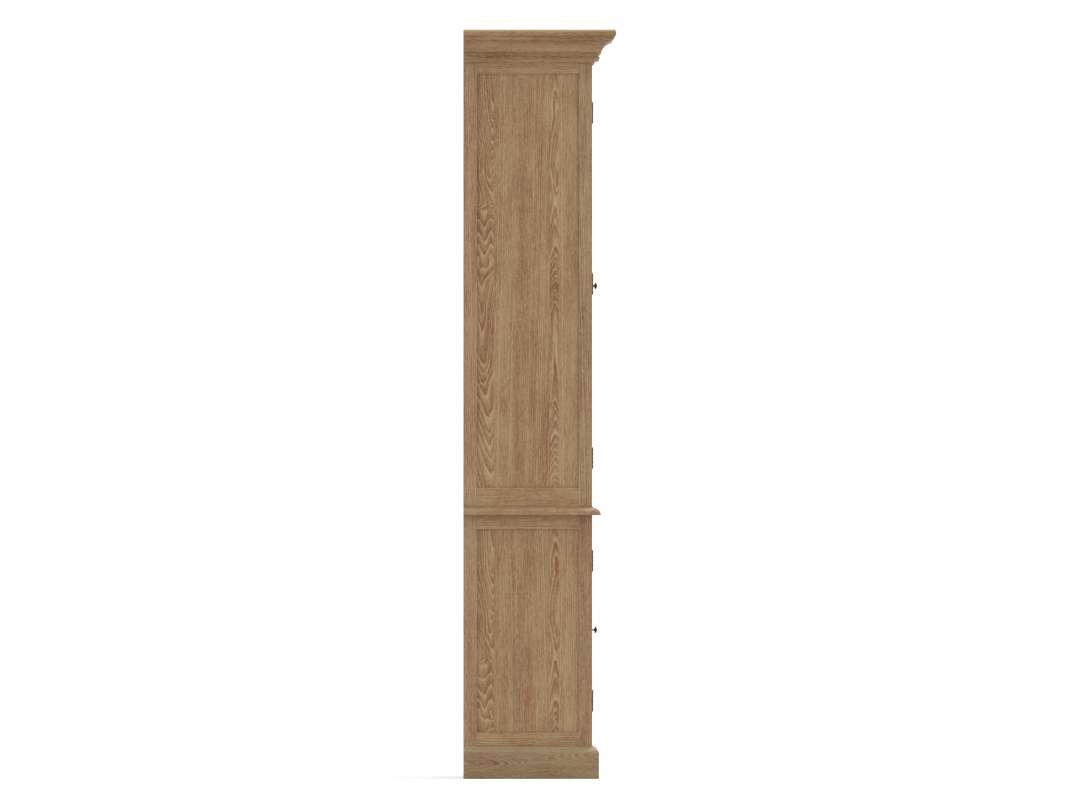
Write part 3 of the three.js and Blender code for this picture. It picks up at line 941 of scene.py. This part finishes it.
def add_screw(bm, point, out, radius, turn):
    """A countersunk screw head with a cross recess, its face pointing along out."""
    towards = Vector(out).to_track_quat("Z", "Y").to_matrix().to_4x4()
    place = Matrix.Translation(point) @ towards @ Matrix.Rotation(turn, 4, "Z")
    head = bmesh.new()
    add_lathe(head, [(radius * share, height) for share, height in SCREW_HEAD], Matrix(), 20)
    half, thin, deep = radius * 0.62, radius * 0.13, 0.35 * MM
    head = carved(head, [
        (Vector((-half, -thin, -deep)), Vector((half, thin, 1 * MM))),
        (Vector((-thin, -half, -deep)), Vector((thin, half, 1 * MM))),
    ])
    head.transform(place)
    mesh = bpy.data.meshes.new("head")
    head.to_mesh(mesh)
    head.free()
    bm.from_mesh(mesh)
    bpy.data.meshes.remove(mesh)


def add_hinge_leaf(door, index, kind):
    """One leaf with its knuckles and screws; the door leaf also carries the pin's rounded ends."""
    node = f"{door}_hinge_{index}_{kind}_leaf"
    axis = AXIS_OF[door]
    side = 1 if axis.x > 0 else -1
    towards = side if kind == "frame" else -side
    low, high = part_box(node)
    level = (low.z + high.z) / 2
    own = (0, 2, 4) if kind == "frame" else (1, 3)
    length = (high.z - low.z - 2 * PIN_CAP) / KNUCKLES
    knuckles = []
    for k in own:
        start = low.z + PIN_CAP + k * length
        end = low.z + PIN_CAP + (k + 1) * length
        knuckles.append((start + FIT_GAP / 2, end - FIT_GAP / 2))
    near = axis.x + towards * (BARREL_RADIUS - LEAF_THICKNESS)
    far = axis.x + towards * BARREL_RADIUS
    root = axis.y + LEAF_ROOT

    outline = [(high.y, low.z), (high.y, high.z), (root, high.z)]
    for bottom, top in reversed(knuckles):
        outline += [(root, top), (axis.y, top), (axis.y, bottom), (root, bottom)]
    outline.append((root, low.z))
    bm = bmesh.new()
    add_extrusion(bm, [(near, y, z) for y, z in outline], (far - near, 0, 0))
    beside_barrel = (Vector((-9, axis.y - 1 * MM, -9)), Vector((9, axis.y + 3 * MM, 9)))
    ease_edges(bm, 0.25 * MM, [beside_barrel])
    centre = Matrix.Translation((axis.x, axis.y, 0))
    for bottom, top in knuckles:
        add_lathe(bm, [
            (0, bottom),
            (BARREL_RADIUS - KNUCKLE_EASE, bottom),
            (BARREL_RADIUS - KNUCKLE_CHAMFER, bottom + KNUCKLE_CHAMFER),
            (BARREL_RADIUS, bottom + KNUCKLE_EASE),
            (BARREL_RADIUS, top - KNUCKLE_EASE),
            (BARREL_RADIUS - KNUCKLE_CHAMFER, top - KNUCKLE_CHAMFER),
            (BARREL_RADIUS - KNUCKLE_EASE, top),
            (0, top),
        ], centre, 32)
    if kind == "door":
        for end, out in ((high.z, 1), (low.z, -1)):
            cap = [(r * BARREL_RADIUS, end - out * h * PIN_CAP) for r, h in PIN_CAP_OUTLINE]
            add_lathe(bm, cap if out < 0 else cap[::-1], centre, 32)
    rng = random.Random(node)
    for step in SCREW_LEVELS:
        spot = Vector((near - towards * 0.05 * MM, (root + high.y) / 2, level + step))
        add_screw(bm, spot, (-towards, 0, 0), 2.9 * MM, rng.uniform(0, math.pi))
    shade(bm, 40)
    settle(node, bm, node)


# ---------------------------------------------------------------- knobs, catches and pins

# Turned outlines as (radius, height) in millimetres.
KNOB_OUTLINE = [
    (0, 0), (3.5, 0), (3.5, 0.5), (2.9, 1.0), (2.4, 2.0), (2.15, 3.2), (2.1, 4.4), (2.25, 5.6),
    (2.6, 6.8), (3.3, 7.8), (4.6, 8.5), (7.0, 8.9), (9.0, 9.2), (9.9, 9.6), (10.35, 10.3),
    (10.5, 11.1), (10.4, 11.9), (10.0, 12.8), (9.2, 13.8), (8.0, 14.75), (6.4, 15.6),
    (4.4, 16.35), (2.2, 16.85), (0, 17),
]
KNOB_SCREW_OUTLINE = [(0, 0.02), (4.4, 0.02), (4.6, 0.12), (4.5, 0.22), (3.2, 0.24), (0, 0.24)]
SLEEVE_OUTLINE = [(0, -2.6), (3.9, -0.5), (3.9, 0.05), (3.4, 0.3), (2.5, 0.25), (2.4, -2.0),
                  (0, -2.0)]
PIN_OUTLINE = [(0, -1), (2.3, -1), (2.3, 1.0), (4.6, 1.0), (4.9, 1.3), (4.9, 2.2), (2.5, 2.6),
               (2.5, 9.2), (2.2, 9.7), (0, 9.8)]


def add_knob(door):
    """A turned mushroom knob on a waisted neck, and the screw head inside the door."""
    node = f"{door}_knob"
    low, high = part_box(node)
    centre = (low + high) / 2
    out_of_door = Matrix.Rotation(math.radians(90), 4, "X")
    into_cabinet = Matrix.Rotation(math.radians(-90), 4, "X")
    knob = bmesh.new()
    foot = Matrix.Translation((centre.x, high.y, centre.z))
    add_lathe(knob, in_metres(KNOB_OUTLINE), foot @ out_of_door, 48)
    shade(knob, 50)
    settle(node, knob, node)

    screw = bmesh.new()
    door_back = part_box(f"{door}_frame")[1].y
    seat = Matrix.Translation((centre.x, door_back, centre.z))
    add_lathe(screw, in_metres(KNOB_SCREW_OUTLINE), seat @ into_cabinet, 32)
    shade(screw)
    attach(f"{door}_knob_screw", screw, BODY_OF[node], "brass")


MAGNET_SPREAD = 16 * MM   # from the mid-line to the middle of each magnet, and of each strike
CATCH_SCREW_SPREAD = 22 * MM
CATCH_SCREW_TURN = 0.88


def add_catch(cabinet):
    """A double magnetic catch behind the top rail: housing, two split magnets and two screws."""
    node = f"{cabinet}_door_catch"
    low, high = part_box(node)
    opening_top = door_opening(cabinet)[1].z
    flange_back = low.y + 4 * MM
    bm = bmesh.new()
    profile = [(low.y, low.z), (high.y, low.z), (high.y, opening_top), (flange_back, opening_top),
               (flange_back, high.z), (low.y, high.z)]
    add_extrusion(bm, [(low.x, y, z) for y, z in profile], (high.x - low.x, 0, 0))
    slots = []
    for middle in (-MAGNET_SPREAD, MAGNET_SPREAD):
        slot_low = Vector((middle - 9 * MM, low.y - 1 * MM, low.z + 3.5 * MM))
        slot_high = Vector((middle + 9 * MM, low.y + 1.2 * MM, low.z + 11.5 * MM))
        slots.append((slot_low, slot_high))
    bm = carved(bm, slots)
    ease_edges(bm, 0.8 * MM, [grown(slot, 0.2 * MM) for slot in slots], 3)
    flat_faces(bm)
    settle(node, bm, node)

    magnets = bmesh.new()
    for slot_low, slot_high in slots:
        for rise in (0.6 * MM, 4.6 * MM):
            add_box(magnets, (slot_low.x + 0.5 * MM, low.y + 0.1 * MM, slot_low.z + rise),
                    (slot_high.x - 0.5 * MM, low.y + 1.1 * MM, slot_low.z + rise + 2.6 * MM))
    ease_edges(magnets, 0.25 * MM)
    flat_faces(magnets)
    attach(f"{node}_magnets", magnets, BODY_OF[node], "steel")
    screws = bmesh.new()
    for side in (-1, 1):
        spot = (side * CATCH_SCREW_SPREAD, flange_back + 0.05 * MM, opening_top + 9 * MM)
        add_screw(screws, Vector(spot), (0, 1, 0), 3 * MM, side * CATCH_SCREW_TURN)
    shade(screws, 40)
    attach(f"{node}_screws", screws, BODY_OF[node], "steel")


def add_strike(door, cabinet):
    """The thin steel plate on the back of a door that the catch holds."""
    catch_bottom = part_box(f"{cabinet}_door_catch")[0].z
    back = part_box(f"{door}_frame")[1].y
    side = 1 if "right" in door else -1
    centre = side * MAGNET_SPREAD
    bm = bmesh.new()
    add_box(bm, (centre - 11 * MM, back - 0.6 * MM, catch_bottom + 2 * MM),
            (centre + 11 * MM, back + 0.12 * MM, catch_bottom + 12 * MM))
    ease_edges(bm, 0.1 * MM)
    flat_faces(bm)
    attach(f"{door}_strike_plate", bm, BODY_OF[f"{door}_frame"], "steel")


PIN_ROWS_Y = (-95 * MM, 185 * MM)
PIN_PITCH = 32 * MM
PIN_DROP = 3 * MM   # from a shelf's underside down to the middle of its pins


def add_shelf_pins(shelf, cabinet):
    """Brass sleeves in two rows on each side, and the four pins that hold the shelf."""
    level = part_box(shelf)[0].z - PIN_DROP
    pins, sleeves = bmesh.new(), bmesh.new()
    for side in (-1, 1):
        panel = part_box(f"{cabinet}_{'left' if side < 0 else 'right'}_side_panel")
        wall = panel[1].x if side < 0 else panel[0].x
        inward = Matrix.Rotation(math.radians(-90 * side), 4, "Y")
        for y in PIN_ROWS_Y:
            for step in range(-2, 3):
                hole = Matrix.Translation((wall, y, level + step * PIN_PITCH))
                add_lathe(sleeves, in_metres(SLEEVE_OUTLINE), hole @ inward, 20)
            add_lathe(pins, in_metres(PIN_OUTLINE), Matrix.Translation((wall, y, level)) @ inward, 20)
    shade(pins, 40)
    shade(sleeves, 40)
    attach(f"{shelf}_pins", pins, "carcase", "brass")
    attach(f"{shelf}_pin_sleeves", sleeves, "carcase", "brass")


def add_doors():
    for door in DOORS:
        cabinet = door.split("_")[0]
        add_framed_panel(door, X, cuts=hinge_pockets(door, "door"))
        add_knob(door)
        add_strike(door, cabinet)
        for index in range(1, HINGES[door] + 1):
            add_hinge_leaf(door, index, "frame")
            add_hinge_leaf(door, index, "door")
    for cabinet in ("base", "upper"):
        add_catch(cabinet)
    for shelf in SHELVES:
        add_shelf_pins(shelf, shelf.split("_")[0])


# ---------------------------------------------------------------- studio

FRAME_WIDTH = 3.459      # what the picture spans at the cabinet's side
LENS = 1250.0
SENSOR = 36.0
CAMERA_LEVEL = 1.1975
AIM_Y = -0.0007          # the camera stands in line with the back and looks at mid-depth
DOME_TOP = (0.0, -0.2, 0.98)   # the way to the dome's brightest part
DOME_SIDES = 1.22        # its strength low down, and at its brightest
DOME_PEAK = 2.0
DOME_FADE = 0.15         # the cosine from the brightest part at which the low strength begins
FLOOR_RADIUS = 14
FLOOR_GLOW = 0.42


def add_camera():
    """A very long lens square to the left side, so that the view is all but parallel."""
    data = bpy.data.cameras.new("camera")
    data.lens, data.sensor_width = LENS, SENSOR
    distance = FRAME_WIDTH * LENS / SENSOR
    data.clip_start, data.clip_end = 1.0, distance + 60
    camera = bpy.data.objects.new("camera", data)
    camera.location = (-HALF_WIDTH - distance, BACK, CAMERA_LEVEL)
    aim = Vector((-HALF_WIDTH, AIM_Y, CAMERA_LEVEL))
    camera.rotation_euler = (aim - camera.location).to_track_quat("-Z", "Y").to_euler()
    bpy.context.scene.collection.objects.link(camera)
    bpy.context.scene.camera = camera


def add_dome():
    """A white studio dome, brighter overhead and a little to the front."""
    world = bpy.data.worlds.new("studio")
    bpy.context.scene.world = world
    world.use_nodes = True
    tree = world.node_tree
    background = tree.nodes["Background"]
    background.inputs["Color"].default_value = (1, 1, 1, 1)
    direction = tree.nodes.new("ShaderNodeTexCoord").outputs["Generated"]
    facing = tree.nodes.new("ShaderNodeVectorMath")
    facing.operation = "DOT_PRODUCT"
    facing.inputs[1].default_value = Vector(DOME_TOP).normalized()
    tree.links.new(direction, facing.inputs[0])
    glow = tree.nodes.new("ShaderNodeMapRange")
    glow.inputs["From Min"].default_value = DOME_FADE
    glow.inputs["To Min"].default_value = DOME_SIDES
    glow.inputs["To Max"].default_value = DOME_PEAK
    tree.links.new(facing.outputs["Value"], glow.inputs["Value"])
    tree.links.new(glow.outputs[0], background.inputs["Strength"])


def add_floor():
    """A pale, softly back-lit sheet, which keeps the shadow round the plinth light."""
    bm = bmesh.new()
    bmesh.ops.create_circle(bm, cap_ends=True, segments=96, radius=FLOOR_RADIUS)
    floor = to_object("floor", bm)
    floor.location.z = -0.2 * MM
    s = Shader("floor")
    grain = s.noise(s.node("ShaderNodeTexCoord").outputs["Object"], (30, 30, 30), 2)
    s.set(Base_Color=s.mix(grain, (0.41, 0.41, 0.41, 1), (0.43, 0.43, 0.43, 1)), Roughness=0.9)
    s.set(Emission_Color=(1, 1, 1, 1), Emission_Strength=FLOOR_GLOW)
    floor.data.materials.append(s.material)


def add_softbox(name, place, target, size, power):
    """A rectangular light at a place, turned to a target; size in metres and power in watts."""
    data = bpy.data.lights.new(name, "AREA")
    data.shape, data.size, data.size_y, data.energy = "RECTANGLE", *size, power
    lamp = bpy.data.objects.new(name, data)
    lamp.location = place
    lamp.rotation_euler = (Vector(target) - Vector(place)).to_track_quat("-Z", "Y").to_euler()
    bpy.context.scene.collection.objects.link(lamp)


def add_studio():
    bpy.context.scene.view_settings.view_transform = "Standard"
    add_dome()
    add_floor()
    add_softbox("front_softbox", place=(1.2, -2.2, 6.4), target=(0, -0.2, 1.4), size=(2.4, 2.4),
                power=300)


add_camera()
add_studio()
add_carcase()
add_mouldings()
add_doors()
